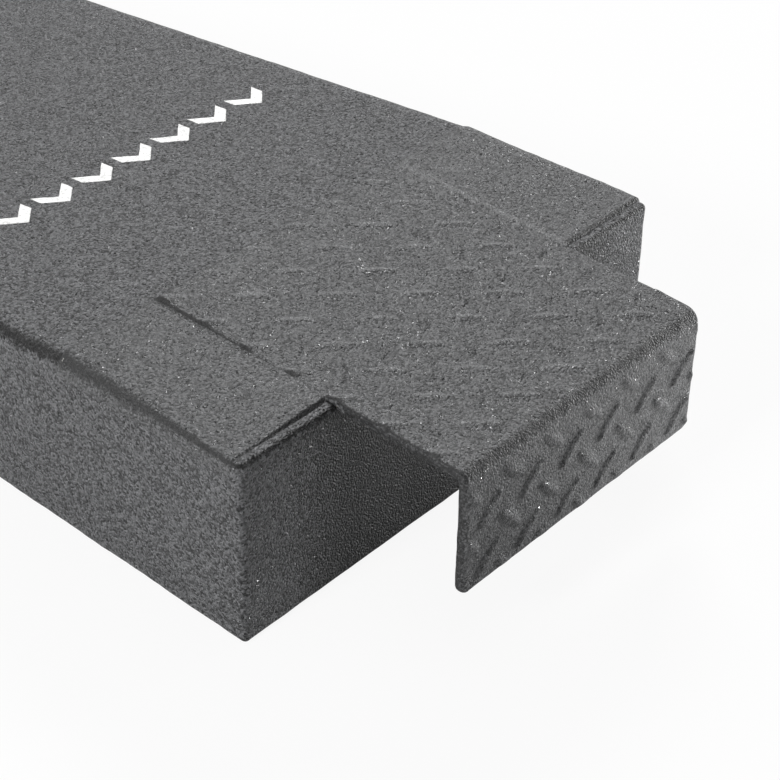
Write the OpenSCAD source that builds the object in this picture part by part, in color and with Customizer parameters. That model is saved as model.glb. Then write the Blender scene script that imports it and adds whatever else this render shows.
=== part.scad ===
// Hook-on loading ramp for a trailer: a sprayed foam wedge with a level landing at its
// high end, and a bent tread-plate hook let into the landing that hangs over the deck edge.
// X runs up the ramp toward the hook, Y runs across it and Z is up.
// The origin is on the ground, under the middle of the whole ramp.

/* [Body] */
// Length of the foam body, without the hook
body_l = 1219; // [1000:1:1500]
// Width of the body
body_w = 355.6; // [290:0.1:430]
// Height of the body at the landing
body_h = 127; // [105:1:160]
// Length of the level landing
landing_l = 144; // [118:1:180]
// Thickness of the toe at the low end
toe_h = 6; // [5:0.5:12]

/* [Body edges] */
// Radius of the incline's long top edges
incline_r = 12; // [8:0.5:16]
// Radius of the landing's side edges
landing_r = 6; // [4:0.5:8]
// Radius of the end face's top edge
end_r = 4; // [3:0.5:6]
// Radius of the end face's upright edges
corner_r = 5; // [3:0.5:8]
// Radius of the edges along the ground
base_r = 3; // [2.5:0.5:4]

/* [Sprayed coats] */
// Thickness of the first coat, all round the foam
coat_t = 1.5; // [1:0.1:2]
// Thickness of the second coat, over the landing and the hook
top_coat_t = 1.7; // [1.2:0.1:2.2]
// Drop of the second coat down the landing's sides
wrap_drop = 14; // [10:1:24]
// Width of first coat left bare along the landing's end edge
bare_edge = 6; // [4:0.5:9]

/* [Hook plate] */
// Width of the tread plate
plate_w = 203.2; // [165:0.1:250]
// Thickness of the tread plate, without its lugs
plate_t = 3.2; // [3:0.1:5]
// Reach of the plate past the end face, to the lip's outer face
plate_reach = 91.5; // [75:0.5:115]
// Drop of the lip below the plate's top face
lip_drop = 81.5; // [65:0.5:105]
// Inside radius of the bend
bend_r = 4.5; // [3:0.5:8]
// Radius of the lip's two lower corners
lip_corner_r = 4; // [2:0.5:8]
// Height of the plate's top face above the body
plate_proud = 1; // [0.5:0.1:2]
// Length of landing left behind the plate's recess
plate_back = 2.5; // [2:0.5:8]

/* [Adhesive bed] */
// Thickness of the adhesive under the plate
bond_t = 1; // [0.5:0.1:2]
// Gap round the plate's edges, filled with adhesive
plate_gap = 1; // [0.5:0.1:2]

/* [Tread lugs] */
// Distance between lugs of one set, both along and across the plate
lug_pitch = 34.5; // [28:0.5:42]
// Length of one lug
lug_l = 24; // [20:0.5:27]
// Width of one lug at its middle
lug_w = 6; // [4:0.5:8]
// Height of the lugs
lug_h = 1.5; // [1:0.1:2]
// Sideways shift of the lug pattern
lug_shift = 4; // [-17:0.5:17]

/* [Painted chevrons] */
// Number of chevrons across the ramp
mark_count = 8; // [4:1:8]
// Distance between chevrons
mark_pitch = 34; // [30:1:40]
// Width of one chevron across the ramp
mark_w = 26; // [14:1:28]
// Length of one chevron along the ramp
mark_l = 24; // [18:1:36]
// Length of a chevron's stroke along the ramp
mark_stroke = 11; // [6:0.5:14]
// Distance down the incline from the landing to the chevrons' tips
mark_from_landing = 136; // [60:1:300]
// Thickness of the paint
paint_t = 0.3; // [0.2:0.05:0.5]

/* [Hidden] */
$fn = 64;

slack = 1; // how far a cutting tool runs past what it cuts
half_w = body_w / 2;
slope = atan((body_h - toe_h) / (body_l - landing_l));
incline_l = (body_l - landing_l) / cos(slope);
hook_reach = plate_reach + lug_h + top_coat_t;
origin_x = (body_l - hook_reach) / 2; // place of the end face along X

// The plate, in a frame that starts at the body's end face
plate_top = body_h + plate_proud;
recess_back_x = plate_back - landing_l;
recess_floor = plate_top - plate_t - bond_t;
plate_back_x = recess_back_x + plate_gap;
bend_outer_r = bend_r + plate_t;
bend_x = plate_reach - bend_outer_r;
bend_z = plate_top - bend_outer_r;
bend_arc = bend_outer_r * PI / 2;
lip_end = bend_x + bend_arc + lip_drop - bend_outer_r; // the lip's lower edge, along the sheet
lip_bottom = plate_top - lip_drop;

// The lugs, counted along the sheet (first to last) and across it
lug_sink = plate_t / 4;
lug_reach = (lug_l + lug_w) / 2 * cos(45);
lug_room = lug_h + slack; // height above the sheet that the lugs stay under
lug_first = floor(plate_back_x / lug_pitch);
lug_last = ceil(lip_end / lug_pitch);
lug_cross = ceil(plate_w / 2 / lug_pitch) + 1;

// Flat tool that rounds a corner which points to +X and +Y and has its tip at the origin
module corner_tool(r) {
    translate([-r, -r]) difference() {
        square(r + slack);
        circle(r);
    }
}

// Tool that rounds an edge running from the origin along +X and facing +Y and +Z
module edge_tool(length, r) {
    rotate([90, 0, 90]) linear_extrude(length) corner_tool(r);
}

// The body's side view, pushed out by grow all round
module side_view(grow) {
    run = body_l - landing_l + grow;
    difference() {
        polygon([
            [grow, -grow],
            [grow, body_h + grow],
            [-landing_l - grow * tan(slope / 2), body_h + grow],
            [-body_l - grow, body_h + grow / cos(slope) - run * tan(slope)],
            [-body_l - grow, -grow],
        ]);
        translate([grow, body_h + grow]) corner_tool(end_r + grow);
        translate([grow, -grow]) rotate(-90) corner_tool(base_r + grow);
    }
}

// The body's outer shape, pushed out by grow all round
module body_shape(grow) {
    long = body_l + 2 * (grow + slack);
    side = half_w + grow;
    step_x = -landing_l - grow; // where the incline's edge radius gives way to the landing's
    difference() {
        rotate([90, 0, 0]) linear_extrude(2 * side, center = true) side_view(grow);
        for (half = [0, 1]) mirror([0, half, 0]) {
            // the landing's side edge
            translate([step_x, side, body_h + grow])
                edge_tool(grow + slack - step_x, landing_r + grow);
            // the incline's long edge
            intersection() {
                translate([-landing_l - grow * tan(slope / 2), side, body_h + grow])
                    rotate([0, -slope, 0]) translate([-incline_l - slack, 0, 0])
                        edge_tool(incline_l + 2 * (slack + abs(grow)), incline_r + grow);
                translate([step_x - long, 0, 0]) cube([long, side + 2 * slack, body_h + 2 * slack]);
            }
            // the edge along the ground
            translate([grow + slack - long, side, -grow])
                rotate([-90, 0, 0]) edge_tool(long, base_r + grow);
            // the end face's upright edge
            translate([grow, side, -grow - slack])
                linear_extrude(body_h + 2 * (grow + slack)) corner_tool(corner_r + grow);
        }
    }
}

// The space cut into the landing for the plate, pushed out by grow
module recess(grow) {
    width = plate_w + 2 * (plate_gap + grow);
    translate([recess_back_x - grow, -width / 2, recess_floor - grow])
        cube([grow - recess_back_x + slack, width, body_h + slack - recess_floor + grow]);
}

// The bent sheet's side view, pushed out by grow all round
module sheet_view(grow) {
    thick = plate_t + 2 * grow;
    translate([plate_back_x - grow, plate_top - plate_t - grow])
        square([bend_x - plate_back_x + grow, thick]);
    translate([bend_x, bend_z]) intersection() {
        difference() {
            circle(bend_outer_r + grow);
            circle(bend_r - grow);
        }
        square(bend_outer_r + grow);
    }
    translate([bend_x + bend_r - grow, lip_bottom - grow])
        square([thick, bend_z - lip_bottom + grow]);
}

// One lens-shaped lug lying along X, pushed out by grow
module lug(grow) {
    long = lug_l + 2 * grow;
    wide = lug_w + 2 * grow;
    arc_r = (long * long + wide * wide) / (4 * wide);
    translate([0, 0, -lug_sink]) linear_extrude(lug_sink + lug_h + grow) intersection() {
        translate([0, arc_r - wide / 2]) circle(arc_r);
        translate([0, wide / 2 - arc_r]) circle(arc_r);
    }
}

// Puts a lug on the sheet, along it from the end face and across it from the middle;
// a lug that would lie in the bend is pressed flat by it and left out
module on_sheet(along, across, turn) {
    down = along - bend_x - bend_arc;
    if (along + lug_reach < bend_x)
        translate([along, across, plate_top]) rotate([0, 0, turn]) children();
    else if (down - lug_reach > 0)
        translate([plate_reach, across, bend_z - down]) rotate([0, 90, 0]) rotate([0, 0, turn])
            children();
}

// Both sets of lugs: they cross at a right angle and each fills the other's gaps
module lugs(grow) {
    for (i = [lug_first : lug_last], j = [-lug_cross : lug_cross], set = [0, 1]) {
        along = lug_pitch * (i + set / 2);
        across = lug_shift + lug_pitch * (j + set / 2);
        if (abs(across) < plate_w / 2 + lug_reach && along < lip_end + lug_reach)
            on_sheet(along, across, set == 0 ? 45 : -45) lug(grow);
    }
}

// The bent plate with its lugs, pushed out by grow all round
module plate_shape(grow) {
    width = plate_w + 2 * grow;
    low = lip_bottom - grow;
    difference() {
        union() {
            rotate([90, 0, 0]) linear_extrude(width, center = true) sheet_view(grow);
            intersection() {
                lugs(grow);
                translate([plate_back_x - grow, -width / 2, low])
                    cube([plate_reach - plate_back_x + lug_room + 2 * grow, width, lip_drop + lug_room + 2 * grow]);
            }
        }
        for (half = [0, 1]) mirror([0, half, 0])
            translate([bend_x, width / 2, low]) rotate([-90, 0, 0])
                edge_tool(bend_outer_r + lug_room + grow, lip_corner_r + grow);
    }
}

// One chevron with its tip at the origin, pointing up the ramp
module chevron() {
    tail = mark_l - mark_stroke;
    polygon([
        [0, 0], [-tail, mark_w / 2], [-mark_l, mark_w / 2],
        [-mark_stroke, 0], [-mark_l, -mark_w / 2], [-tail, -mark_w / 2],
    ]);
}

// Moves a piece from the end face's frame to the ramp's own frame
module placed() {
    translate([origin_x, 0, 0]) children();
}

// Block of rigid foam that carries the load
module foam_core() {
    color("#f2f2ee") placed() difference() {
        body_shape(-coat_t);
        recess(coat_t);
    }
}

// First sprayed coat: one closed skin round the foam, lining the recess
module body_coat() {
    color("#4a4b4c") placed() difference() {
        body_shape(0);
        recess(0);
        difference() {
            body_shape(-coat_t);
            recess(coat_t);
        }
    }
}

// Adhesive bed under the plate and round its edges
module plate_bond() {
    color("#d8c79a") placed() difference() {
        intersection() {
            recess(0);
            body_shape(0);
        }
        plate_shape(0);
    }
}

// Bent tread plate: its flat leg lies in the landing, its lip hangs down as the hook
module hook_plate() {
    color("#b9bcc0") placed() plate_shape(0);
}

// Second sprayed coat: over the landing, the plate and all round the hook
module hook_coat() {
    layer_l = landing_l - bare_edge;
    color("#545556") placed() difference() {
        union() {
            intersection() {
                body_shape(top_coat_t);
                translate([-landing_l, -body_w, body_h - wrap_drop])
                    cube([layer_l, 2 * body_w, wrap_drop + 2 * top_coat_t]);
            }
            difference() {
                plate_shape(top_coat_t);
                translate([-landing_l, -body_w, 0]) cube([landing_l, 2 * body_w, body_h]);
            }
        }
        body_shape(0);
        plate_shape(0);
    }
}

// Painted row of chevrons that shows the way up the ramp
module guide_marks() {
    color("#f7f7f5") placed() translate([-landing_l, 0, body_h]) rotate([0, -slope, 0])
        for (i = [0 : mark_count - 1])
            translate([-mark_from_landing, mark_pitch * (i - (mark_count - 1) / 2), 0])
                linear_extrude(paint_t) chevron();
}

foam_core();
body_coat();
plate_bond();
hook_plate();
hook_coat();
guide_marks();
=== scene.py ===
import math
import bpy
import numpy as np
from mathutils import Matrix, Vector


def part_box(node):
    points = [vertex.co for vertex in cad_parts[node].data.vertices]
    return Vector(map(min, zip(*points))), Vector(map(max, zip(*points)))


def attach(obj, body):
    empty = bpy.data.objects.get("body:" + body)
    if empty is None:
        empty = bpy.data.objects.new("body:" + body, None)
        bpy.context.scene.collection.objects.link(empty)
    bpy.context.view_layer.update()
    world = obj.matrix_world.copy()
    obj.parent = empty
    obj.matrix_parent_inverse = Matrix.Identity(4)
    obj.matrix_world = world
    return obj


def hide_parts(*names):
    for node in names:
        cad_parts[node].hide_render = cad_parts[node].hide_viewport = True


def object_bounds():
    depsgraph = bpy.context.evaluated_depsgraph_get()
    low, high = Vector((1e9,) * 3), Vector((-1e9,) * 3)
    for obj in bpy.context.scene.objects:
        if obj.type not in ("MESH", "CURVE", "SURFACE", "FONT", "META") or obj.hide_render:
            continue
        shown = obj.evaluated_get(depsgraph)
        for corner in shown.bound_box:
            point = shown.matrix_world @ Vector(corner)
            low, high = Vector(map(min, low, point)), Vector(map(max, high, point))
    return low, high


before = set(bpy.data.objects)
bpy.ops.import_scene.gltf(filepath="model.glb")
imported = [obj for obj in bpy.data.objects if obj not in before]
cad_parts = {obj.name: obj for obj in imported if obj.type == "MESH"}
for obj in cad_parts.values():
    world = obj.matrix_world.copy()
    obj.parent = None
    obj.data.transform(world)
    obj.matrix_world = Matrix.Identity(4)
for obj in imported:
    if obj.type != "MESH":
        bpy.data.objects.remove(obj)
CAD_LOW, CAD_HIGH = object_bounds()

bl_info = {
    "name": "Hook-on loading ramp",
    "version": (1, 0, 0),
    "blender": (4, 5, 0),
    "location": "3D View > Sidebar > Ramp",
    "description": "Sprayed foam ramp with a tread-plate hook, built round its packed frame",
    "category": "Add Mesh",
}

MM = 0.001


# ---------------------------------------------------------------- sizes from the frame

def mesh_rows(items, name):
    """A vector of every vertex or normal of a mesh, one row each."""
    rows = np.empty(3 * len(items), np.float32)
    items.foreach_get(name, rows)
    return rows.reshape(-1, 3).astype(float)


BODY_LOW, BODY_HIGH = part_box("body_coat")
COAT_LOW, COAT_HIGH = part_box("hook_coat")
PLATE_LOW, PLATE_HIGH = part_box("hook_plate")
_, FOAM_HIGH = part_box("foam_core")
BOND_LOW, BOND_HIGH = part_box("plate_bond")
MARKS_LOW, MARKS_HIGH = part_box("guide_marks")

END_X = BODY_HIGH.x  # the body's end face, from which lengths along the ramp are counted
BODY_L = BODY_HIGH.x - BODY_LOW.x
HALF_W = BODY_HIGH.y
BODY_H = BODY_HIGH.z
LANDING_L = END_X - COAT_LOW.x
TOP_COAT = COAT_HIGH.x - PLATE_HIGH.x  # thickness of the second coat
FIRST_COAT = BODY_HIGH.y - FOAM_HIGH.y  # thickness of the first coat
HALF_PLATE = PLATE_HIGH.y
RECESS_HALF = BOND_HIGH.y
RECESS_BACK = BOND_LOW.x - END_X
RECESS_FLOOR = BOND_LOW.z
BODY_POINTS = mesh_rows(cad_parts["body_coat"].data.vertices, "co")
TOE_H = BODY_POINTS[BODY_POINTS[:, 0] < BODY_LOW.x + 0.1 * MM, 2].max()
SLOPE = math.atan((BODY_H - TOE_H) / (BODY_L - LANDING_L))


# ---------------------------------------------------------------- what a user can change

def length(name, text, default):
    """A length property in metres."""
    return bpy.props.FloatProperty(name=name, description=text, default=default, min=0.0,
                                   precision=5, subtype="DISTANCE", unit="LENGTH")


def colour(name, text, default):
    """A colour property with linear red, green and blue."""
    return bpy.props.FloatVectorProperty(name=name, description=text, default=default, size=3,
                                         min=0.0, max=1.0, subtype="COLOR")


class RampSizes(bpy.types.PropertyGroup):
    """Sizes of the sprayed coats and of the hook under them."""
    incline_r: length("Incline edge", "Radius of the incline's long top edges", 12 * MM)
    landing_r: length("Landing edge", "Radius of the landing's side edges at the end face", 4 * MM)
    end_r: length("End edge", "Radius of the end face's top edge", 4 * MM)
    upright_r: length("Upright edge", "Radius of the end face's upright edges", 5 * MM)
    base_r: length("Ground edge", "Radius of the edges along the ground", 3 * MM)
    wrap_drop: length("Wrap", "How far the second coat reaches down the landing's sides", 14 * MM)
    bare_edge: length("Bare edge", "Width of first coat left bare along the end edge", 6 * MM)
    back_coat: length("Coat at the back", "Second coat beside the plate's back edge", 1.5 * MM)
    end_coat: length("Coat at the end", "Second coat beside the plate at the end edge", 2.4 * MM)
    plate_t: length("Plate", "Thickness of the tread plate without its lugs", 3.2 * MM)
    lug_h: length("Lug height", "Height of the tread plate's lugs", 1.5 * MM)
    lug_l: length("Lug length", "Length of one lug", 24 * MM)
    lug_w: length("Lug width", "Width of one lug at its middle", 6 * MM)
    lug_pitch: length("Lug pitch", "Distance between lugs of one set", 34.5 * MM)
    lug_shift: bpy.props.FloatProperty(
        name="Lug shift", description="Sideways shift of the lug pattern", default=4 * MM,
        precision=5, subtype="DISTANCE", unit="LENGTH")
    bend_r: length("Bend", "Inside radius of the hook's bend", 4.5 * MM)
    sag: length("Unevenness", "How far the sprayed faces wander from true", 0.16 * MM)
    mark_w: length("Chevron width", "Width of one chevron across the ramp", 26 * MM)
    mark_l: length("Chevron length", "Length of one chevron along the ramp", 24 * MM)
    mark_stroke: length("Chevron stroke", "Length of a stroke along the ramp", 11 * MM)
    mark_count: bpy.props.IntProperty(name="Chevrons", description="Number of chevrons",
                                      default=8, min=1, max=20)
    paint_t: length("Paint", "Thickness of the paint", 0.3 * MM)


class RampColours(bpy.types.PropertyGroup):
    """Colours of the ramp's finishes."""
    first_coat: colour("First coat", "Colour of the coat all over the body", (0.085, 0.086, 0.089))
    top_coat: colour("Second coat", "Colour of the coat over the hook", (0.080, 0.081, 0.083))
    paint: colour("Paint", "Colour of the painted chevrons", (0.86, 0.86, 0.85))
    foam: colour("Foam", "Colour of the foam beads", (0.84, 0.84, 0.80))
    metal: colour("Aluminium", "Colour of the tread plate", (0.72, 0.73, 0.74))
    bond: colour("Adhesive", "Colour of the adhesive bed", (0.62, 0.50, 0.28))
    floor: colour("Floor", "Colour of the studio floor", (0.7, 0.7, 0.7))


# ---------------------------------------------------------------- shape helpers

def smooth(t):
    """Rises from 0 to 1 while t does: 3 t squared less 2 t cubed, held level outside."""
    t = np.clip(t, 0.0, 1.0)
    return t * t * (3.0 - 2.0 * t)


def mix(a, b, t):
    """A share 1 - t of a and a share t of b."""
    return a + (b - a) * t


def wander(points, depth):
    """Moves points as an unevenly sprayed face wanders.

    Each axis gets a sum of sine waves with seeded directions, phases and lengths from 9 to
    60 mm. It dies out at the ground and at the toe, so the ramp stays inside its frame, and
    its upright part is weaker over the hook.
    """
    rng = np.random.default_rng(11)
    count = 36
    heading = rng.normal(size=(count, 3))
    heading /= np.linalg.norm(heading, axis=1)[:, None]
    wave = np.geomspace(9 * MM, 60 * MM, count)
    phase = rng.uniform(0.0, 2 * math.pi, count)
    push = rng.normal(size=(count, 3)) * (wave / wave.max())[:, None] ** 0.35
    push *= depth * math.sqrt(2.0 / count)
    swell = np.sin(points @ (heading * (2 * math.pi / wave)[:, None]).T + phase)
    calm = np.ones_like(points)
    calm[:, 0] = smooth((points[:, 0] - BODY_LOW.x) / (30 * MM))
    over_hook = smooth((points[:, 0] - END_X) / (30 * MM) + 1)
    calm[:, 2] = smooth(points[:, 2] / (20 * MM)) * mix(1.0, 0.4, over_hook)
    return points + calm * (swell @ push)


def top_height(x):
    """Height of the body's top: level over the landing, then falling at the slope."""
    return BODY_H + np.minimum(x + LANDING_L, 0.0) * math.tan(SLOPE)


def edge_radius(x, sizes):
    """Radius of the body's long top edge: the incline's, narrowing over the landing."""
    radius = mix(sizes.incline_r, sizes.landing_r, smooth((x + LANDING_L) / LANDING_L))
    room = top_height(x) - sizes.base_r
    return np.minimum(radius, 0.8 * room)


def grid_quads(ids):
    """Four-sided faces between the neighbours of a grid of point numbers."""
    return np.stack([ids[:-1, :-1], ids[:-1, 1:], ids[1:, 1:], ids[1:, :-1]], -1).reshape(-1, 4)


def open_edges(quads):
    """Directed edges that only one face uses."""
    edges = np.stack([quads, np.roll(quads, -1, 1)], -1).reshape(-1, 2)
    size = edges.max() + 1
    forward = edges[:, 0] * size + edges[:, 1]
    backward = edges[:, 1] * size + edges[:, 0]
    return edges[~np.isin(forward, backward)]


def thick_shell(outer, inner, quads):
    """Closes a sheet with the sheet behind it: the same faces turned round, and a rim."""
    rim = open_edges(quads)
    shift = len(outer)
    rim_quads = np.stack([rim[:, 1], rim[:, 0], rim[:, 0] + shift, rim[:, 1] + shift], -1)
    return np.concatenate([outer, inner]), np.concatenate([quads, quads[:, ::-1] + shift, rim_quads])


def volume(points, quads):
    """Signed volume inside a closed shell, from a fan of two triangles a face."""
    a, b, c, d = (points[quads[:, k]] for k in range(4))
    return (np.einsum("ij,ij->i", a, np.cross(b, c)) + np.einsum("ij,ij->i", a, np.cross(c, d))).sum() / 6


LEAN_START, LEAN_RANGE = 0.3, 0.35  # lean at which the painted edge shade starts, and how far on it is full
RIM_PAINTED_SHADE = 0.8  # share of the painted shade on the narrow rims of the hook
UNDER_HOOK_PAINTED_SHADOW = 0.9  # share of the painted shade, a painted shadow of the hook, on the end face under the hook
AT_END = 5 * MM  # distance from the end face that still counts as the end face
UNDER_OUT, UNDER_FADE = 55 * MM, 70 * MM  # how far past the plate's side the painted shadow under the hook ends, and over what length


def painted_edge_shade(mesh):
    """Share of the painted shade at each point of a mesh: darkening that stands in for the little light
    on edges and rims, and a painted shadow on the end face under the hook.

    It is 1 where the face leans well away from both level and upright, on the top edges. It is
    less on the narrow rims of the hook beyond the end face, and on the end face under the hook
    it fades out past the plate's sides.
    """
    lean = mesh_rows(mesh.vertex_normals, "vector")
    place = mesh_rows(mesh.vertices, "co")
    slant = np.minimum(lean[:, 2], np.hypot(lean[:, 0], lean[:, 1]))
    aside = np.abs(place[:, 1]) - HALF_PLATE
    # painted shade on the hook's narrow rims
    rim = RIM_PAINTED_SHADE * smooth(aside / TOP_COAT - 0.3) * (place[:, 0] > END_X + AT_END)
    # painted shadow of the hook on the end face under it
    under = (lean[:, 0] > 0.9) * (np.abs(place[:, 0] - END_X) < AT_END)
    under = UNDER_HOOK_PAINTED_SHADOW * under * smooth((UNDER_OUT - aside) / UNDER_FADE)
    return np.maximum(np.maximum(smooth((slant - LEAN_START) / LEAN_RANGE), rim), under)


def finish_piece(name, points, quads, material, slot, *replaced):
    """Puts points and faces into a new object on the frame's one body."""
    used, packed = np.unique(quads, return_inverse=True)
    points, quads = points[used], packed.reshape(-1, 4)
    mesh = bpy.data.meshes.new(name)
    mesh.vertices.add(len(points))
    mesh.vertices.foreach_set("co", points.astype(np.float32).ravel())
    mesh.loops.add(quads.size)
    mesh.loops.foreach_set("vertex_index", quads.astype(np.int32).ravel())
    mesh.polygons.add(len(quads))
    mesh.polygons.foreach_set("loop_start", np.arange(0, quads.size, 4, dtype=np.int32))
    mesh.polygons.foreach_set("use_smooth", np.ones(len(quads), bool))
    mesh.update(calc_edges=True)
    if mesh.validate():
        raise RuntimeError(f"{name} has faces that the mesh refuses")
    # the edge attribute holds painted shade, and below zero painted highlight, for the coat's colour
    edge = mesh.attributes.new("edge", "FLOAT", "POINT")
    edge.data.foreach_set("value", painted_edge_shade(mesh).astype(np.float32))
    mesh.materials.append(material)
    piece = bpy.data.objects.new(name, mesh)
    bpy.context.scene.collection.objects.link(piece)
    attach(piece, "root")
    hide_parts(*replaced)
    return piece


# ---------------------------------------------------------------- the body's first coat

HALF_ARC = 4  # faces in each half of a rounded corner
TOE_R = 2.5 * MM  # radius of the edges round the toe
LEAST_R = 0.3 * MM  # smallest radius that an end's edge keeps when the wall moves inward
LEAST_TOP_R, LEAST_LOW_R = 0.6 * MM, 0.5 * MM  # and the long edges, at the top and on the ground
WALL_STEP = 0.3 * MM  # half the width of the recess's steep wall
FINE_END = -0.46  # where along the ramp the finely divided stretch ends

# Steps along the ramp near the hook and far from it, and how many faces run up a side, along
# the ground, on top beside the plate and over the plate
FINE_WALL = (2.6 * MM, 12 * MM, (34, 104, 24, 54))
COARSE_WALL = (9 * MM, 30 * MM, (8, 28, 5, 16))


def arc(start, stop):
    """Angles, in radians, of the points inside one half corner."""
    return np.radians(np.linspace(start, stop, HALF_ARC + 1))


def body_loop(x, grow, counts, sizes):
    """Cross-sections of the body at the places x: a rounded rectangle each.

    It runs from the middle of one top corner along the top, down one side, along the ground
    and up the other side. Near the end face and the toe the rectangle shrinks as a quarter
    circle does, so the ends are rounded too. grow moves the wall outward.
    """
    side_n, base_n, outer_n, plate_n = counts

    def inset(radius, past):
        radius = max(radius + grow, LEAST_R)
        return radius - np.sqrt(np.maximum(radius ** 2 - np.clip(radius - past, 0, radius) ** 2, 0))

    to_end = grow - x
    to_toe = x + BODY_L + grow
    ends = np.minimum(to_end, to_toe)
    near_end = to_end < to_toe
    half = HALF_W + grow - np.where(near_end, inset(sizes.upright_r, ends), inset(TOE_R, ends))
    top = top_height(x) + grow - np.where(near_end, inset(sizes.end_r, ends), inset(TOE_R, ends))
    low = -grow + np.where(near_end, inset(sizes.base_r, ends), inset(TOE_R, ends))
    shrink = HALF_W + grow - half
    r_top = np.maximum(edge_radius(x, sizes) + grow - shrink, LEAST_TOP_R)
    r_low = np.minimum(sizes.base_r, 0.3 * top_height(x)) + grow - shrink
    r_low = np.maximum(r_low, LEAST_LOW_R)
    half, top, low, r_top, r_low = (v[:, None] for v in (half, top, low, r_top, r_low))

    wide, flat_low = half - r_top, half - r_low
    lip = RECESS_HALF - grow  # the recess widens as the wall moves inward
    out = np.linspace(0, 1, outer_n + 1)
    inside = np.linspace(-1, 1, plate_n + 1)[None] * (lip - WALL_STEP)
    left = -wide + (wide - lip - WALL_STEP) * out
    top_y = np.concatenate([left, np.broadcast_to(inside, (len(x), plate_n + 1)), -left[:, ::-1]], 1)
    side = np.linspace(0, 1, side_n + 1)[1:-1]
    base = np.linspace(0, 1, base_n + 1)[1:-1]

    def corner(sign, radius, level, y_flat, angles):
        return sign * y_flat + radius * np.cos(angles), level + radius * np.sin(angles)

    runs = [
        corner(-1, r_top, top - r_top, wide, arc(135, 90)[:-1]),
        (top_y, np.broadcast_to(top, top_y.shape)),
        corner(1, r_top, top - r_top, wide, arc(90, 45)[1:]),
        corner(1, r_top, top - r_top, wide, arc(45, 0)[1:]),
        (half + 0 * side, mix(top - r_top, low + r_low, side)),
        corner(1, r_low, low + r_low, flat_low, arc(0, -45)),
        corner(1, r_low, low + r_low, flat_low, arc(-45, -90)[1:]),
        (mix(flat_low, -flat_low, base), low + 0 * base),
        corner(-1, r_low, low + r_low, flat_low, arc(-90, -135)),
        corner(-1, r_low, low + r_low, flat_low, arc(-135, -180)[1:]),
        (-half + 0 * side, mix(low + r_low, top - r_top, side)),
        corner(-1, r_top, top - r_top, wide, arc(180, 135)[:-1]),
    ]
    y = np.concatenate([run[0] for run in runs], 1)
    z = np.concatenate([run[1] for run in runs], 1)
    back = RECESS_BACK + grow
    dipped = (np.abs(y) < lip) & (x[:, None] > back) & (z > 0.5 * BODY_H)
    z = np.where(dipped, np.minimum(z, RECESS_FLOOR + grow), z)
    return np.stack([np.broadcast_to(x[:, None], y.shape), y, z], -1)


def coons(loop, across, down):
    """Fills a closed loop of four edges: the mean of the two ruled sheets between opposite
    edges, less the sheet through the four corners counted twice."""
    top, right = loop[:across + 1], loop[across:across + down + 1]
    bottom = loop[across + down:2 * across + down + 1][::-1]
    left = np.concatenate([loop[2 * across + down:], loop[:1]])[::-1]
    u = np.linspace(0, 1, across + 1)[None, :, None]
    v = np.linspace(0, 1, down + 1)[:, None, None]
    ruled = (1 - v) * top + v * bottom + (1 - u) * left[:, None] + u * right[:, None]
    corners = (1 - v) * mix(top[0], top[-1], u) + v * mix(bottom[0], bottom[-1], u)
    return ruled - corners


def cap_ids(ring, across, down, first_new):
    """Point numbers of a filled end: the ring's own round the rim and new ones inside."""
    ids = np.empty((down + 1, across + 1), int)
    ids[0], ids[:, -1] = ring[:across + 1], ring[across:across + down + 1]
    ids[-1] = ring[across + down:2 * across + down + 1][::-1]
    ids[:, 0] = np.concatenate([ring[2 * across + down:], ring[:1]])[::-1]
    ids[1:-1, 1:-1] = first_new + np.arange((down - 1) * (across - 1)).reshape(down - 1, -1)
    return ids


def body_shell(grow, fine, sizes):
    """One closed wall of the body: sections carried along the ramp, with filled ends."""
    near, far, counts = FINE_WALL if fine else COARSE_WALL
    end, toe = grow, -BODY_L - grow
    turn = 1 - np.sin(np.linspace(0, math.pi / 2, 8))
    back = RECESS_BACK + grow
    x = np.concatenate([
        end - sizes.upright_r * turn[::-1],
        np.arange(end - sizes.upright_r, back + 2 * MM, -near)[1:],
        [back + WALL_STEP, back - WALL_STEP],
        np.arange(-LANDING_L, FINE_END, -near),
        np.arange(FINE_END, toe + far, -far),
        toe + TOE_R * turn,
    ])
    points = body_loop(x, grow, counts, sizes)
    side_n, base_n, outer_n, plate_n = counts
    across, down = 2 * HALF_ARC + base_n, 2 * HALF_ARC + side_n
    if across != 2 * HALF_ARC + 2 * outer_n + plate_n + 2:
        raise RuntimeError("the top and the base of the body's section need the same count")
    rows, round_n = points.shape[:2]
    ids = np.arange(rows * round_n).reshape(rows, round_n)
    quads = [grid_quads(np.concatenate([ids, ids[:, :1]], 1))]
    clouds = [points.reshape(-1, 3)]
    first_new = rows * round_n
    for row in (0, rows - 1):
        fill = coons(points[row], across, down)
        cap = cap_ids(ids[row], across, down, first_new)
        quads.append(grid_quads(cap if row else cap[:, ::-1]))
        clouds.append(fill[1:-1, 1:-1].reshape(-1, 3))
        first_new += len(clouds[-1])
    points, quads = np.concatenate(clouds), np.concatenate(quads)
    outward = volume(points, quads) > 0
    return points, quads if outward else quads[:, ::-1]


CLEARANCE = 0.03 * MM  # how far the wandering faces stay below the frame's upper bounds


def place_on_ramp(points, sizes):
    """Moves points from the end face's frame to the ramp's and lets them wander, as far as
    the frame's own box allows."""
    moved = wander(points + np.array([END_X, 0.0, 0.0]), sizes.sag)
    return np.clip(moved, np.array(CAD_LOW), np.array(CAD_HIGH) - CLEARANCE)


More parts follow.
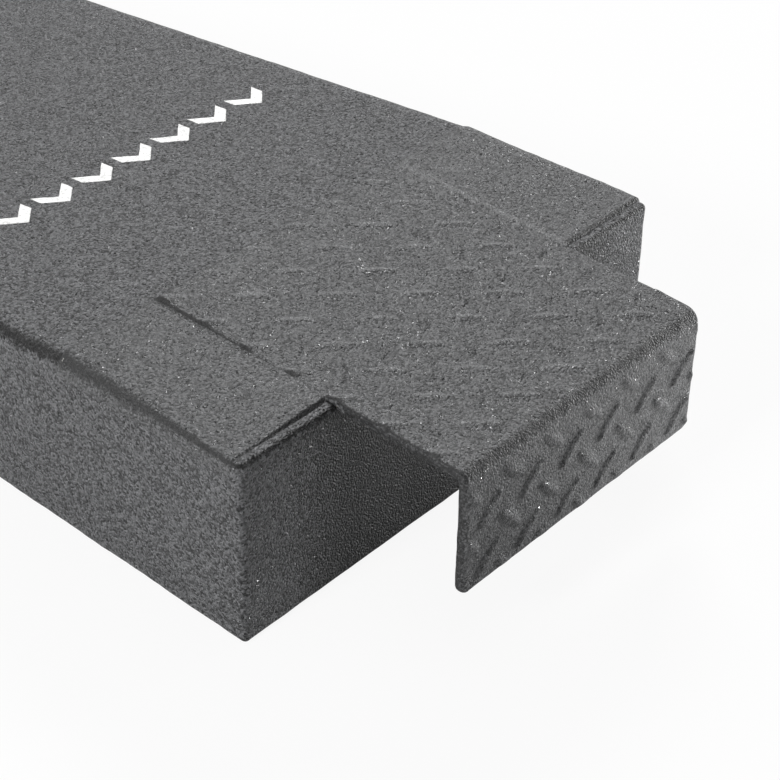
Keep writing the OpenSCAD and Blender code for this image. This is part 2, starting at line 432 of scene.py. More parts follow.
class RAMP_OT_body(bpy.types.Operator):
    """Adds the first coat: an outer wall and, a coat's thickness inside it, an inner wall"""
    bl_idname = "ramp.body"
    bl_label = "Body coat"

    def execute(self, context):
        sizes = context.scene.ramp_sizes
        outer, outer_quads = body_shell(0.0, True, sizes)
        inner, inner_quads = body_shell(-FIRST_COAT, False, sizes)
        points = place_on_ramp(np.concatenate([outer, inner]), sizes)
        quads = np.concatenate([outer_quads, inner_quads[:, ::-1] + len(outer)])
        finish_piece("body_skin", points, quads, first_coat_material(context),
                     "sprayed_coat", "body_coat")
        return {"FINISHED"}


# ---------------------------------------------------------------- the second coat and the hook

EDGE_POWER = 2.6  # how square the sheet's sprayed rims are: 2 is a half circle
LAP = 2.6 * MM  # how far the second coat laps over the crease onto the incline
FALL_L = 2.6 * MM  # length over which the second coat ends at the bare edge
TUCK = 0.15 * MM  # depth of the second coat's rims under the first coat's face
TUCK_IN = 0.45 * MM  # depth of its back face there
CAVITY = 0.05 * MM  # gap between the plate and the second coat's back face
CREASE_LIFT = 0.5 * MM  # extra coat on the plate at the crease
FILLET_W = 7 * MM  # width of the fillet along the plate's +Y edge
THIN_OUT, THIN_W = 118 * MM, 55 * MM  # where across the thin corner starts, and how soon it is full
THIN_BACK, THIN_L = 45 * MM, 35 * MM  # the same along the ramp, back from the end face
THIN_LOSS = 0.62  # share of the coat that the thin corner lacks
LUG_POWER = 0.9  # how full a lug's cross-section is
SOFTEN = 1.0 * MM  # how far the second coat widens a lug
FOLD_LOSS = 0.75  # share of a lug's height that the bend presses away
CREASE_LUG = 0.8  # share of a lug's height that shows at the crease
TIP_LUG, TIP_L = 0.35, 8 * MM  # share of it at the lip's lower edge, and the length to full height
CREST_W = 1.8 * MM  # width of the painted highlight along a lug's crest, and its distance from the middle line
CREST_PAINTED_HIGHLIGHT = 0.9  # how far a crest's painted highlight takes the edge shade below zero
RIDGE_OUT, RIDGE_W = 2 * MM, 3 * MM  # distance past the plate's edge of the painted highlight along the ridge, and its width
RIDGE_PAINTED_HIGHLIGHT = 0.5  # share of a crest's painted highlight that the ridge has
RIM_N = 6  # faces round half of a sheet's rim
PLATE_N = 118  # faces across the plate between its rims
SIDE_COUNTS = (15, 6, 4)  # faces beside the plate: level, round the edge, down the side


def plate_top(sizes):
    """Height of the plate's top face between its lugs."""
    return PLATE_HIGH.z - sizes.lug_h


def hook_lines(sizes):
    """Driving lengths of the bent plate, counted from the end face."""
    bend = sizes.bend_r + sizes.plate_t
    bend_x = PLATE_HIGH.x - END_X - sizes.lug_h - bend
    lip_start = bend_x + bend * math.pi / 2
    lip_end = lip_start + plate_top(sizes) - bend - PLATE_LOW.z
    return bend, bend_x, lip_start, lip_end


def lug_field(along, across, soften, sizes):
    """Height of the tread lugs at places on the sheet.

    Two lattices of lens-shaped bumps, half a pitch apart both ways and turned 45 degrees each
    way. Across a bump the height is one less the square of the distance from its middle line
    over the lens's width there, to a power a little under one.
    """
    total = 0.0
    half_l, half_w = sizes.lug_l / 2 + soften, sizes.lug_w / 2 + soften
    for offset, sign in ((0.0, 1.0), (0.5, -1.0)):
        a = along / sizes.lug_pitch - offset
        b = (across - sizes.lug_shift) / sizes.lug_pitch - offset
        a, b = (a - np.round(a)) * sizes.lug_pitch, (b - np.round(b)) * sizes.lug_pitch
        u, v = (a + sign * b) / math.sqrt(2), (b - sign * a) / math.sqrt(2)
        lens = half_w * np.maximum(1 - (u / half_l) ** 2, 1e-3)
        hump = np.maximum(1 - (v / lens) ** 2, 0.0) ** LUG_POWER
        total = total + hump * (np.abs(u) < half_l)
    return sizes.lug_h * total


def along_path(along, off, sizes):
    """Side view of the bent sheet: level, a quarter circle, then straight down.
    off is the distance out from the plate's top face."""
    bend, bend_x, lip_start, _ = hook_lines(sizes)
    turn = np.clip((along - bend_x) / bend, 0, math.pi / 2)
    x = np.minimum(along, bend_x) + (bend + off) * np.sin(turn)
    z = plate_top(sizes) - bend + (bend + off) * np.cos(turn) - np.maximum(along - lip_start, 0.0)
    return x, z


def rise(along):
    """Share of its full thickness that the second coat has near the crease."""
    return smooth((along + LANDING_L + LAP) / (2 * LAP))


def fall(along, sizes):
    """Share of its full thickness that the second coat has near its end line."""
    return smooth(-(along + sizes.bare_edge) / FALL_L)


def side_coat(along, across, sizes):
    """Thickness of the second coat beside the plate: it grows toward the end face, and it is
    sprayed thinner at the end corner on the -Y side."""
    coat = mix(sizes.back_coat, sizes.end_coat, smooth((along + LANDING_L) / LANDING_L))
    corner = smooth((-across - THIN_OUT) / THIN_W) * smooth((along + THIN_BACK) / THIN_L)
    return coat * (1 - THIN_LOSS * corner)


def crest_lift(along):
    """Extra coat on the plate, thickest at the crease."""
    return mix(CREASE_LIFT, 0.0, smooth((along + LANDING_L) / LANDING_L))


def side_lift(along, across, outer, sizes):
    """Height of the second coat's face, or of its back, above the body beside the plate. On the
    +Y side a fillet takes up half of the step to the plate's coat."""
    if not outer:
        return -TUCK_IN + 0 * along * across
    coat = side_coat(along, across, sizes)
    step = plate_top(sizes) + TOP_COAT + crest_lift(along) - top_height(along) - coat
    reach = smooth(1 - (across - HALF_PLATE - TOP_COAT) / FILLET_W) * (across > 0)
    lifted = coat + 0.5 * np.maximum(step, 0.0) * reach
    return mix(-TUCK, lifted, rise(along) * fall(along, sizes))


def beside_plate(along, side, outer, sizes):
    """The second coat beside the plate, from the plate's edge to its rim down the side.

    Across, it runs level, then round the body's top edge as an arc, then straight down. It is
    the body's own face moved out by the coat, which thins to nothing at its rims.
    """
    flat_n, arc_n, wrap_n = SIDE_COUNTS
    level = np.concatenate([np.linspace(0, 1, flat_n + 1)[1:], np.ones(arc_n + wrap_n)])[None]
    turn = np.concatenate([np.zeros(flat_n), np.linspace(0, 1, arc_n + 1)[1:], np.ones(wrap_n)])[None]
    down = np.concatenate([np.zeros(flat_n + arc_n), np.linspace(0, 1, wrap_n + 1)[1:]])[None]
    s = along[:, None]
    top, radius = top_height(s), edge_radius(s, sizes)
    start = HALF_PLATE + (TOP_COAT if outer else CAVITY)
    y = start + level * (HALF_W - radius - start)
    off = side_lift(s, side * y, outer, sizes)
    if outer:
        off = mix(mix(off, 0.5 * off, turn), -TUCK, smooth((2 * turn + 3 * down - 1) / 4))
    y = y + (radius + off) * np.sin(turn * math.pi / 2)
    z = top - radius + (radius + off) * np.cos(turn * math.pi / 2) - down * (sizes.wrap_drop - radius)
    return np.stack([np.broadcast_to(s, y.shape), side * y, z], -1)


def coat_and_rim(outer):
    """How far the coat's face, or its back, lies off the plate, and the width of its rim."""
    return (TOP_COAT, 3.0 * MM) if outer else (CAVITY, 0.8 * MM)


def sheet_rows(outer, sizes):
    """Places along the sheet, closer together where it steps, bends or ends; and how many of
    them come before the bare edge's end and before the body's end face."""
    _, bend_x, lip_start, lip_end = hook_lines(sizes)
    coat, rim = coat_and_rim(outer)
    start, bare = -LANDING_L - LAP, -sizes.bare_edge
    stops = [(start, start + 2.5 * LAP, 6), (start + 2.5 * LAP, bare - 1.3 * FALL_L, 78),
             (bare - 1.3 * FALL_L, bare, 6), (bare, 0.0, 4), (0.0, bend_x, 50),
             (bend_x, lip_start, 9), (lip_start, lip_end + coat - rim, 44)]
    runs = [np.linspace(a, b, n + 1)[1:] for a, b, n in stops]
    ring = np.sin(np.linspace(0, math.pi / 2, RIM_N + 1)[1:])
    tip = lip_end + coat - rim * (1 - ring ** (2 / EDGE_POWER))
    landing_n = 1 + sum(n for _, _, n in stops[:3])
    return np.concatenate([[start], *runs, tip]), landing_n, landing_n + stops[3][2] - 1


def sheet_faces(outer, sizes):
    """The two faces of the coat round the plate, as grids of places along and across it.

    The upper face runs over the landing, the tongue and the lip, the lower one under the
    tongue and behind the lip. Near the rim each face turns toward the other as a
    superellipse does. Over the landing the upper face ends in a soft step instead.
    """
    bend, bend_x, _, lip_end = hook_lines(sizes)
    coat, rim = coat_and_rim(outer)
    half_sheet, half_t, corner = HALF_PLATE + coat, sizes.plate_t / 2 + coat, 4 * MM + coat
    along, landing_n, end_row = sheet_rows(outer, sizes)
    s, end = along[:, None], lip_end + coat
    ring = np.linspace(0, 1, RIM_N + 1)[1:]
    edge = half_sheet - rim * (1 - np.sin(ring * math.pi / 2) ** (2 / EDGE_POWER))
    y = np.concatenate([-edge[::-1], np.linspace(rim - half_sheet, half_sheet - rim, PLATE_N + 1), edge])
    ring = np.concatenate([ring[::-1], np.zeros(PLATE_N + 1), ring])[None]
    past = np.clip(corner - (end - s), 0, corner)
    y = y[None] * (1 - (corner - np.sqrt(corner ** 2 - past ** 2)) / half_sheet)

    in_from_end, in_from_side = end - s, half_sheet - np.abs(y)
    round_in = corner - np.hypot(corner - in_from_end, corner - in_from_side)
    at_corner = (in_from_end < corner) & (in_from_side < corner)
    depth = np.where(at_corner, round_in, np.minimum(in_from_end, in_from_side))
    reach = np.clip(1 - depth / rim, 0, 1)
    drop = half_t * (1 - np.maximum(1 - reach ** EDGE_POWER, 0) ** (1 / EDGE_POWER))

    lugs = lug_field(s, y, SOFTEN if outer else 0.0, sizes)
    if outer:
        folded = smooth(1.6 - np.abs(s - bend_x - 0.8 * bend) / bend)
        buried = mix(CREASE_LUG, 1.0, smooth((s + LANDING_L) / (0.6 * LANDING_L)))
        at_tip = mix(TIP_LUG, 1.0, smooth(in_from_end / TIP_L))
        lugs = lugs * np.where(s > bend_x, at_tip, buried) * (1 - FOLD_LOSS * folded)
    crest = crest_lift(s) if outer else 0.0
    upper = coat + crest + lugs * (1 - reach) - drop
    beside = top_height(s) + side_lift(s, y, outer, sizes) - plate_top(sizes)
    step = mix(coat + crest + lugs * (1 - ring), beside, smooth(ring))
    upper = mix(step, upper, smooth((s + sizes.bare_edge + FALL_L) / FALL_L))
    ground = top_height(s) - (TUCK if outer else TUCK_IN) - plate_top(sizes)
    upper = mix(ground, upper, rise(s))

    x, z = along_path(s, upper, sizes)
    top_face = np.stack([x, y, z], -1)
    x, z = along_path(s, -sizes.plate_t - coat + drop, sizes)
    low_face = np.stack([x, y, z], -1)
    return along, landing_n, end_row, top_face, low_face


def coat_face(outer, sizes):
    """Every point of the second coat's face, or of its back, in one numbering, and the faces
    between them, turned outward."""
    along, landing_n, end_row, sheet, under = sheet_faces(outer, sizes)
    left = beside_plate(along[:landing_n], -1, outer, sizes)[:, ::-1]
    right = beside_plate(along[:landing_n], 1, outer, sizes)
    side_n = left.shape[1]
    top = np.zeros((len(along), sheet.shape[1] + 2 * side_n, 3))
    top[:landing_n, :side_n], top[:landing_n, -side_n:] = left, right
    top[:, side_n:-side_n] = sheet
    ids = np.arange(top.shape[0] * top.shape[1]).reshape(top.shape[:2])
    plate_ids = ids[:, side_n:-side_n]

    under = under[end_row:]
    under_ids = ids.size + np.arange(under.shape[0] * under.shape[1]).reshape(under.shape[:2])
    under_ids[:, 0], under_ids[:, -1] = plate_ids[end_row:, 0], plate_ids[end_row:, -1]
    under_ids[-1] = plate_ids[-1]
    quads = np.concatenate([
        grid_quads(ids[:landing_n, ::-1]),
        grid_quads(plate_ids[landing_n - 1:, ::-1]),
        grid_quads(under_ids),
    ])
    return np.concatenate([top.reshape(-1, 3), under.reshape(-1, 3)]), quads


def paint_crest_highlights(mesh, sizes):
    """Takes the edge shade below zero as painted highlight, where lug flanks and a ridge face the back
    light.

    That is along the crests of the level lugs that run up the ramp and toward +Y, a little to
    their +Y side, and along the ridge at the plate's +Y edge.
    """
    place = mesh_rows(mesh.vertices, "co")
    shade = np.empty(len(place), np.float32)
    mesh.attributes["edge"].data.foreach_get("value", shade)
    _, bend_x, _, _ = hook_lines(sizes)
    along = place[:, 0] - END_X
    level = (along < bend_x) & (place[:, 2] > PLATE_LOW.z) & (np.abs(place[:, 1]) < HALF_PLATE)
    a = along / sizes.lug_pitch
    b = (place[:, 1] - sizes.lug_shift) / sizes.lug_pitch
    a, b = (a - np.round(a)) * sizes.lug_pitch, (b - np.round(b)) * sizes.lug_pitch
    taper = np.maximum(1 - (2 * (a + b) / math.sqrt(2) / sizes.lug_l) ** 2, 0.0)
    ridge = smooth(1 - np.abs(place[:, 1] - HALF_PLATE - RIDGE_OUT) / RIDGE_W)
    on_landing = (along > -LANDING_L) & (along < -10 * MM) & (place[:, 2] > PLATE_LOW.z)
    ridge = RIDGE_PAINTED_HIGHLIGHT * ridge * on_landing
    crest = smooth(1 - np.abs((b - a) / math.sqrt(2) - CREST_W * taper) / CREST_W)
    crest = crest * smooth(2 * taper) * level
    # painted highlight: crests and ridge go below zero, lighter than the coat's own tone
    shade = shade - CREST_PAINTED_HIGHLIGHT * np.maximum(crest, ridge)
    mesh.attributes["edge"].data.foreach_set("value", shade.astype(np.float32))


class RAMP_OT_hook(bpy.types.Operator):
    """Adds the second coat: a skin over the landing and all round the tread-plate hook"""
    bl_idname = "ramp.hook"
    bl_label = "Hook coat"

    def execute(self, context):
        sizes = context.scene.ramp_sizes
        outer, quads = coat_face(True, sizes)
        inner, _ = coat_face(False, sizes)
        points, quads = thick_shell(outer, inner, quads)
        piece = finish_piece("hook_skin", place_on_ramp(points, sizes), quads,
                             top_coat_material(context), "top_coat", "hook_coat")
        paint_crest_highlights(piece.data, sizes)
        return {"FINISHED"}


# ---------------------------------------------------------------- painted chevrons

def chevron_grid(across_n, stroke_n, lift, sizes):
    """One chevron as a grid: the first parameter runs from one tail over the tip to the other,
    the second from the front edge to the back. Both edges fall away from the tip in a
    straight line each way. Gives distances along and across, and the lift at each place."""
    t = np.linspace(-1, 1, across_n + 1)[:, None]
    q = np.linspace(0, 1, stroke_n + 1)[None]
    along = -np.abs(t) * (sizes.mark_l - sizes.mark_stroke) - q * sizes.mark_stroke
    across = t * sizes.mark_w / 2 + 0 * q
    rim = np.minimum(np.minimum(q, 1 - q) * stroke_n, (1 - np.abs(t)) * across_n / 2)
    return along, across, lift * smooth(0.35 + 0.65 * rim)


class RAMP_OT_marks(bpy.types.Operator):
    """Adds the row of painted chevrons, as a thin film that follows the coat under it"""
    bl_idname = "ramp.marks"
    bl_label = "Painted chevrons"

    def execute(self, context):
        sizes = context.scene.ramp_sizes
        across_n, stroke_n = 36, 14  # faces across a chevron and along its stroke
        tip = MARKS_HIGH.x - END_X + LANDING_L
        room = MARKS_HIGH.y - MARKS_LOW.y - sizes.mark_w
        place = np.linspace(-room / 2, room / 2, sizes.mark_count)[:, None, None]
        faces = []
        for lift in (0.8 * sizes.paint_t, -sizes.paint_t):
            along, across, height = chevron_grid(across_n, stroke_n, lift, sizes)
            along = tip / math.cos(SLOPE) + along
            x = -LANDING_L + along * math.cos(SLOPE) - height * math.sin(SLOPE)
            z = BODY_H + along * math.sin(SLOPE) + height * math.cos(SLOPE)
            faces.append(np.stack(np.broadcast_arrays(x, across + place, z), -1).reshape(-1, 3))
        ids = np.arange(len(faces[0])).reshape(sizes.mark_count, across_n + 1, stroke_n + 1)
        quads = np.stack([ids[:, :-1, :-1], ids[:, 1:, :-1], ids[:, 1:, 1:], ids[:, :-1, 1:]], -1)
        points, quads = thick_shell(faces[0], faces[1], quads.reshape(-1, 4))
        if volume(points, quads) < 0:
            quads = quads[:, ::-1]
        finish_piece("chevron_marks", place_on_ramp(points, sizes), quads,
                     paint_material(context), "white_paint", "guide_marks")
        return {"FINISHED"}


# ---------------------------------------------------------------- finishes

def put(tree, kind, **values):
    """Adds a node and sets its properties, or its sockets by name with spaces as _."""
    node = tree.nodes.new(kind)
    for key, value in values.items():
        if hasattr(node, key):
            setattr(node, key, value)
        else:
            node.inputs[key.replace("_", " ")].default_value = value
    return node


def blank_material(name, roughness, **sockets):
    """A material with one Principled shader, whose constants sit on its own sockets."""
    material = bpy.data.materials.new(name)
    material.use_nodes = True
    tree = material.node_tree
    tree.nodes.clear()
    shader = put(tree, "ShaderNodeBsdfPrincipled")
    shader.inputs["Roughness"].default_value = roughness
    for key, value in sockets.items():
        shader.inputs[key.replace("_", " ")].default_value = value
    output = put(tree, "ShaderNodeOutputMaterial")
    tree.links.new(shader.outputs["BSDF"], output.inputs["Surface"])
    place = put(tree, "ShaderNodeTexCoord")
    return material, tree, shader, place.outputs["Object"]


def new_group(name, inputs, outputs):
    """An empty node group with named sockets."""
    group = bpy.data.node_groups.new(name, "ShaderNodeTree")
    for label, kind, default in inputs:
        socket = group.interface.new_socket(label, in_out="INPUT", socket_type=kind)
        if default is not None:
            socket.default_value = default
    for label, kind in outputs:
        group.interface.new_socket(label, in_out="OUTPUT", socket_type=kind)
    return group, put(group, "NodeGroupInput"), put(group, "NodeGroupOutput")


def math_node(tree, operation, a, b, clamp=False):
    """A Math node on two links or numbers."""
    node = put(tree, "ShaderNodeMath", operation=operation, use_clamp=clamp)
    for socket, value in zip(node.inputs, (a, b)):
        if isinstance(value, (int, float)):
            socket.default_value = value
        else:
            tree.links.new(value, socket)
    return node.outputs[0]


def spray_group():
    """Sprayed texture: Height of the grain, Tone of its colour and Gloss of its wet grains.

    The grains are cells of random size and place. Height falls from the middle of a grain to
    its edge, plus a fine noise. Tone and Gloss are drawn at random for each grain, and Gloss
    keeps only the few highest draws.
    """
    if "Spray grain" in bpy.data.node_groups:
        return bpy.data.node_groups["Spray grain"]
    number = "NodeSocketFloat"
    group, enter, leave = new_group(
        "Spray grain",
        [("Vector", "NodeSocketVector", None), ("Grains per metre", number, 700.0),
         ("Roughness", number, 0.9), ("Wet grains", number, 0.05)],
        [("Height", number), ("Tone", number), ("Gloss", number)])
    link = group.links.new
    grains = put(group, "ShaderNodeTexVoronoi")
    link(enter.outputs["Vector"], grains.inputs["Vector"])
    link(enter.outputs["Grains per metre"], grains.inputs["Scale"])
    draw = put(group, "ShaderNodeSeparateColor")
    link(grains.outputs["Color"], draw.inputs["Color"])
    fine = put(group, "ShaderNodeTexNoise")
    fine.inputs["Detail"].default_value = 1.0
    link(enter.outputs["Vector"], fine.inputs["Vector"])
    link(math_node(group, "MULTIPLY", enter.outputs["Grains per metre"], 0.8), fine.inputs["Scale"])
    dome = math_node(group, "MULTIPLY", grains.outputs["Distance"], -0.6)
    rough = math_node(group, "MULTIPLY", fine.outputs[0], enter.outputs["Roughness"])
    tall = math_node(group, "MULTIPLY", draw.outputs["Blue"], 0.25)
    link(math_node(group, "ADD", math_node(group, "ADD", dome, tall), rough), leave.inputs["Height"])
    own = math_node(group, "MULTIPLY", draw.outputs["Red"], 0.7)
    shared = math_node(group, "MULTIPLY", fine.outputs[0], 0.3)
    link(math_node(group, "ADD", own, shared), leave.inputs["Tone"])
    wet = math_node(group, "SUBTRACT", 1.0, enter.outputs["Wet grains"])
    link(math_node(group, "GREATER_THAN", draw.outputs["Green"], wet), leave.inputs["Gloss"])
    return group


def pattern(tree, kind, place, scale, **values):
    """A texture node of a scale, laid out by a place."""
    node = put(tree, kind, **values)
    node.inputs["Scale"].default_value = scale
    tree.links.new(place, node.inputs["Vector"])
    return node


def shades(tree, value, low, high, stops):
    """A colour ramp between two colours over part of a value's range."""
    ramp = put(tree, "ShaderNodeValToRGB")
    for element, position, shade in zip(ramp.color_ramp.elements, stops, (low, high)):
        element.position = position
        element.color = (*shade, 1.0)
    tree.links.new(value, ramp.inputs[0])
    return ramp.outputs["Color"]


def range_of(tree, value, low, high):
    """A value from 0 to 1 turned into one from low to high."""
    node = put(tree, "ShaderNodeMapRange")
    tree.links.new(value, node.inputs["Value"])
    node.inputs["To Min"].default_value, node.inputs["To Max"].default_value = low, high
    return node.outputs[0]


def tint(tree, shader, value, low, high, stops):
    """Gives the shader a colour between two over part of a value's range."""
    tree.links.new(shades(tree, value, low, high, stops), shader.inputs["Base Color"])


def roughen(tree, shader, value, low, high):
    """Gives the shader a roughness from low to high as a value runs from 0 to 1."""
    tree.links.new(range_of(tree, value, low, high), shader.inputs["Roughness"])


def bump(tree, shader, height, depth):
    """Bump of a depth in metres on the shader's normal."""
    node = put(tree, "ShaderNodeBump")
    node.inputs["Strength"].default_value = 1.0
    node.inputs["Distance"].default_value = depth
    tree.links.new(height, node.inputs["Height"])
    tree.links.new(node.outputs["Normal"], shader.inputs["Normal"])


EDGE_PAINTED_SHADE = 0.6  # how far a full edge value moves the grain's tone toward dark: the strength of the painted shade


def coat_material(name, base, grains, wet, depth, contrast):
    """Sprayed charcoal coat: fine grain in height and in shade, with a few wet grains. Painted shade
    makes it darker, with fewer wet grains, where the mesh's edge value is high. Painted highlight makes
    it lighter and glossier where that value is below zero."""
    material, tree, shader, place = blank_material(name, 0.7, IOR=1.5)
    grain = put(tree, "ShaderNodeGroup", node_tree=spray_group())
    tree.links.new(place, grain.inputs["Vector"])
    grain.inputs["Grains per metre"].default_value = grains
    grain.inputs["Wet grains"].default_value = wet
    # edge attribute: painted shade above zero, painted highlight below zero
    edge = put(tree, "ShaderNodeAttribute", attribute_name="edge")
    darker = math_node(tree, "MULTIPLY", edge.outputs["Fac"], -EDGE_PAINTED_SHADE)
    tone = math_node(tree, "ADD", grain.outputs["Tone"], darker)
    dark = [c * (1 - contrast) for c in base]
    light = [c * (1 + contrast) for c in base]
    tint(tree, shader, tone, dark, light, (0.15, 0.85))
    gloss = math_node(tree, "SUBTRACT", grain.outputs["Gloss"], edge.outputs["Fac"], clamp=True)
    roughen(tree, shader, gloss, 0.6, 0.16)
    bump(tree, shader, grain.outputs["Height"], depth)
    return material


def first_coat_material(context):
    """The coat all over the body."""
    base = context.scene.ramp_colours.first_coat
    return coat_material("First coat", base, grains=780.0, wet=0.12, depth=1.5 * MM, contrast=0.95)


def top_coat_material(context):
    """The second coat, whose grain is a little finer and flatter."""
    base = context.scene.ramp_colours.top_coat
    return coat_material("Second coat", base, grains=850.0, wet=0.12, depth=0.95 * MM, contrast=0.75)


def paint_material(context):
    """Flat white paint that shows the grain under it and has worn thin on the peaks."""
    material, tree, shader, place = blank_material("White paint", 0.55)
    grain = put(tree, "ShaderNodeGroup", node_tree=spray_group())
    tree.links.new(place, grain.inputs["Vector"])
    paint = context.scene.ramp_colours.paint
    worn = [c * 0.72 for c in paint]
    tint(tree, shader, grain.outputs["Tone"], worn, paint, (0.24, 0.42))
    roughen(tree, shader, grain.outputs["Gloss"], 0.6, 0.4)
    bump(tree, shader, grain.outputs["Height"], 0.3 * MM)
    return material


def foam_material(context):
    """Moulded bead foam: cells 4 mm across with dark joints between them."""
    material, tree, shader, place = blank_material("Bead foam", 0.85)
    cells = pattern(tree, "ShaderNodeTexVoronoi", place, 250.0, feature="DISTANCE_TO_EDGE")
    foam = context.scene.ramp_colours.foam
    joint = [c * 0.7 for c in foam]
    tint(tree, shader, cells.outputs["Distance"], joint, foam, (0.0, 0.12))
    bump(tree, shader, cells.outputs["Distance"], 0.6 * MM)
    return material


def metal_material(context):
    """Rolled aluminium with fine scratches along the rolling direction."""
    material, tree, shader, place = blank_material("Rolled aluminium", 0.4, Metallic=1.0)
    turn = put(tree, "ShaderNodeMapping")
    turn.inputs["Scale"].default_value = (40.0, 900.0, 900.0)
    tree.links.new(place, turn.inputs["Vector"])
    scratch = pattern(tree, "ShaderNodeTexNoise", turn.outputs["Vector"], 1.0)
    metal = context.scene.ramp_colours.metal
    dull = [c * 0.8 for c in metal]
    tint(tree, shader, scratch.outputs[0], dull, metal, (0.3, 0.7))
    roughen(tree, shader, scratch.outputs[0], 0.3, 0.5)
    bump(tree, shader, scratch.outputs[0], 0.05 * MM)
    return material


def bond_material(context):
    """Cured adhesive: amber, with soft waves and small bubbles."""
    material, tree, shader, place = blank_material("Adhesive", 0.35)
    bubbles = pattern(tree, "ShaderNodeTexVoronoi", place, 420.0, feature="SMOOTH_F1")
    bond = context.scene.ramp_colours.bond
    deep = [c * 0.6 for c in bond]
    tint(tree, shader, bubbles.outputs["Distance"], bond, deep, (0.1, 0.8))
    roughen(tree, shader, bubbles.outputs["Distance"], 0.25, 0.5)
    bump(tree, shader, bubbles.outputs["Distance"], 0.2 * MM)
    return material


class RAMP_OT_inside(bpy.types.Operator):
    """Finishes the pieces inside: the foam block, the tread plate and its adhesive bed"""
    bl_idname = "ramp.inside"
    bl_label = "Foam, plate and adhesive"

    def execute(self, context):
        finishes = {"foam_core": foam_material, "hook_plate": metal_material, "plate_bond": bond_material}
        for node, finish in finishes.items():
            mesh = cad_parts[node].data
            mesh.materials.clear()
            mesh.materials.append(finish(context))
        return {"FINISHED"}


# ---------------------------------------------------------------- stage

def softbox(name, place, aim, width, height, power):
    """An area light of a width and height in metres at a place, turned toward aim."""
    light = bpy.data.lights.new(name, "AREA")
    light.shape, light.size, light.size_y, light.energy = "RECTANGLE", width, height, power
    lamp = bpy.data.objects.new(name, light)
    lamp.location = place
    lamp.visible_camera = False
    lamp.rotation_euler = (Vector(aim) - Vector(place)).to_track_quat("-Z", "Y").to_euler()
    bpy.context.scene.collection.objects.link(lamp)


def stage_floor(context):
    """Pale floor: a wide disc from a grid of rings and spokes."""
    rings, spokes, reach = 12, 48, 14.0
    radius = np.geomspace(0.05, reach, rings)[:, None]
    angle = np.linspace(0, 2 * math.pi, spokes, endpoint=False)[None]
    points = np.stack(np.broadcast_arrays(radius * np.cos(angle), radius * np.sin(angle), 0 * radius), -1)
    ids = np.arange(rings * spokes).reshape(rings, spokes)
    quads = grid_quads(np.concatenate([ids, ids[:, :1]], 1))
    mesh = bpy.data.meshes.new("studio_floor")
    faces = quads.tolist() + [ids[0].tolist()]
    mesh.from_pydata(points.reshape(-1, 3).tolist(), [], faces)
    floor = bpy.data.objects.new("studio_floor", mesh)
    context.scene.collection.objects.link(floor)
    material, tree, shader, place = blank_material("Studio floor", 0.9)
    cloud = pattern(tree, "ShaderNodeTexNoise", place, 3.0)
    tone = context.scene.ramp_colours.floor
    low = [c * 0.99 for c in tone]
    tint(tree, shader, cloud.outputs[0], low, tone, (0.3, 0.7))
    glow = put(tree, "ShaderNodeEmission")
    glow.inputs["Color"].default_value = (1.0, 1.0, 1.0, 1.0)
    path, blend = put(tree, "ShaderNodeLightPath"), put(tree, "ShaderNodeMixShader")
    share = math_node(tree, "MULTIPLY", path.outputs["Is Camera Ray"], 0.9)
    tree.links.new(share, blend.inputs[0])
    tree.links.new(shader.outputs["BSDF"], blend.inputs[1])
    tree.links.new(glow.outputs["Emission"], blend.inputs[2])
    tree.links.new(blend.outputs["Shader"], tree.nodes["Material Output"].inputs["Surface"])
    mesh.materials.append(material)


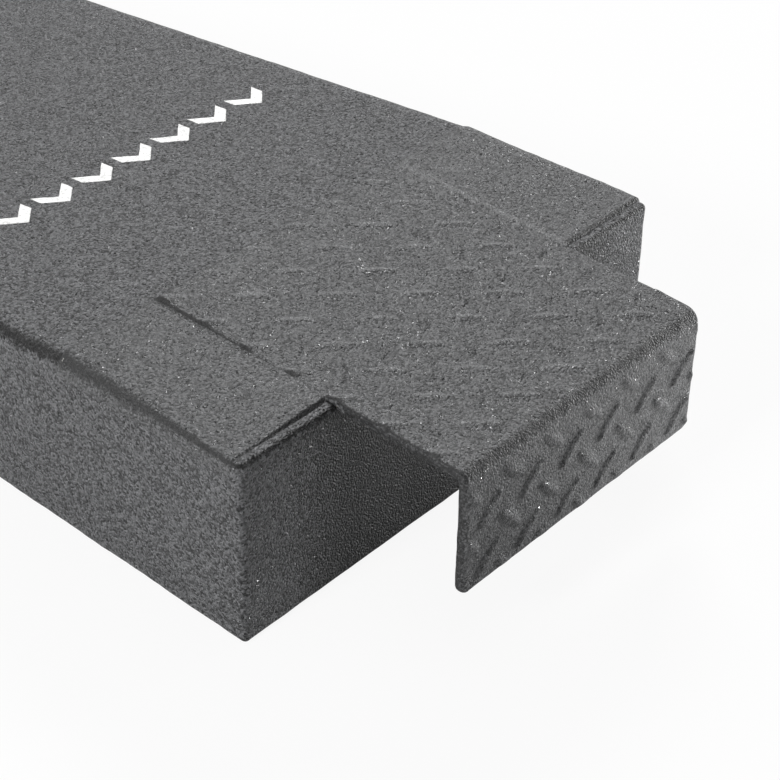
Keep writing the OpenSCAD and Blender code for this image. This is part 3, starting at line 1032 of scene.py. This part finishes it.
class RAMP_OT_stage(bpy.types.Operator):
    """Adds the floor, the soft lights and the camera"""
    bl_idname = "ramp.stage"
    bl_label = "Stage"

    def execute(self, context):
        scene = context.scene
        stage_floor(context)
        world = bpy.data.worlds.new("Studio")
        world.use_nodes = True
        backdrop = world.node_tree.nodes["Background"]
        backdrop.inputs["Color"].default_value = (1.0, 1.0, 1.0, 1.0)
        seen = put(world.node_tree, "ShaderNodeLightPath").outputs["Is Camera Ray"]
        strength = range_of(world.node_tree, seen, 0.01, 0.95)
        world.node_tree.links.new(strength, backdrop.inputs["Strength"])
        scene.world = world
        scene.view_settings.view_transform = "Standard"
        middle = (END_X - 0.1, 0.0, 0.1)
        lip = (END_X + 0.09, 0.0, 0.09)
        softbox("back_softbox", (END_X - 2.1, 2.4, 2.5), middle, 1.6, 1.2, 140.0)
        softbox("top_softbox", (END_X, 0.0, 2.2), middle, 1.8, 1.8, 15.0)
        softbox("front_softbox", (END_X, -1.9, 1.3), middle, 0.5, 0.5, 40.0)
        softbox("right_strip", (END_X + 0.48, 1.5, 0.12), lip, 0.3, 0.15, 21.0)
        softbox("floor_glow", (END_X + 0.27, 0.24, 0.003), (END_X + 0.27, 0.24, 1.0), 0.34, 0.4, 0.45)
        softbox("side_strip", (END_X - 1.7, -1.3, 0.12), (END_X - 0.3, -0.18, 0.06), 0.9, 0.2, 9.0)

        aim = Vector((END_X + 0.013, -0.0748, 0.1287))
        azimuth, elevation, roll = (math.radians(angle) for angle in (41.58, 37.34, 1.07))
        distance = 1.190
        level = math.cos(elevation)
        back = Vector((math.sin(azimuth) * level, -math.cos(azimuth) * level, math.sin(elevation)))
        camera = bpy.data.cameras.new("camera")
        camera.lens, camera.sensor_width, camera.clip_end = 100.58, 36.0, 60.0
        eye = bpy.data.objects.new("camera", camera)
        turn = back.to_track_quat("Z", "Y").to_matrix() @ Matrix.Rotation(roll, 3, "Z")
        eye.matrix_world = Matrix.Translation(aim + distance * back) @ turn.to_4x4()
        scene.collection.objects.link(eye)
        scene.camera = eye
        return {"FINISHED"}


# ---------------------------------------------------------------- panel and registration

class RAMP_PT_panel(bpy.types.Panel):
    """Lists the ramp's sizes, colours and pieces"""
    bl_idname = "RAMP_PT_panel"
    bl_label = "Loading ramp"
    bl_space_type = "VIEW_3D"
    bl_region_type = "UI"
    bl_category = "Ramp"

    def draw(self, context):
        for group in (context.scene.ramp_sizes, context.scene.ramp_colours):
            box = self.layout.box()
            for name in group.__annotations__:
                box.prop(group, name)
        for operator in PIECES:
            self.layout.operator(operator.bl_idname)


PIECES = (RAMP_OT_body, RAMP_OT_hook, RAMP_OT_marks, RAMP_OT_inside, RAMP_OT_stage)
CLASSES = (RampSizes, RampColours, *PIECES, RAMP_PT_panel)


def register():
    for item in CLASSES:
        bpy.utils.register_class(item)
    bpy.types.Scene.ramp_sizes = bpy.props.PointerProperty(type=RampSizes)
    bpy.types.Scene.ramp_colours = bpy.props.PointerProperty(type=RampColours)


def unregister():
    del bpy.types.Scene.ramp_colours
    del bpy.types.Scene.ramp_sizes
    for item in reversed(CLASSES):
        bpy.utils.unregister_class(item)


def main():
    """Builds every piece in order."""
    register()
    bpy.ops.ramp.body()
    bpy.ops.ramp.hook()
    bpy.ops.ramp.marks()
    bpy.ops.ramp.inside()
    bpy.ops.ramp.stage()


if __name__ == "__main__":
    main()
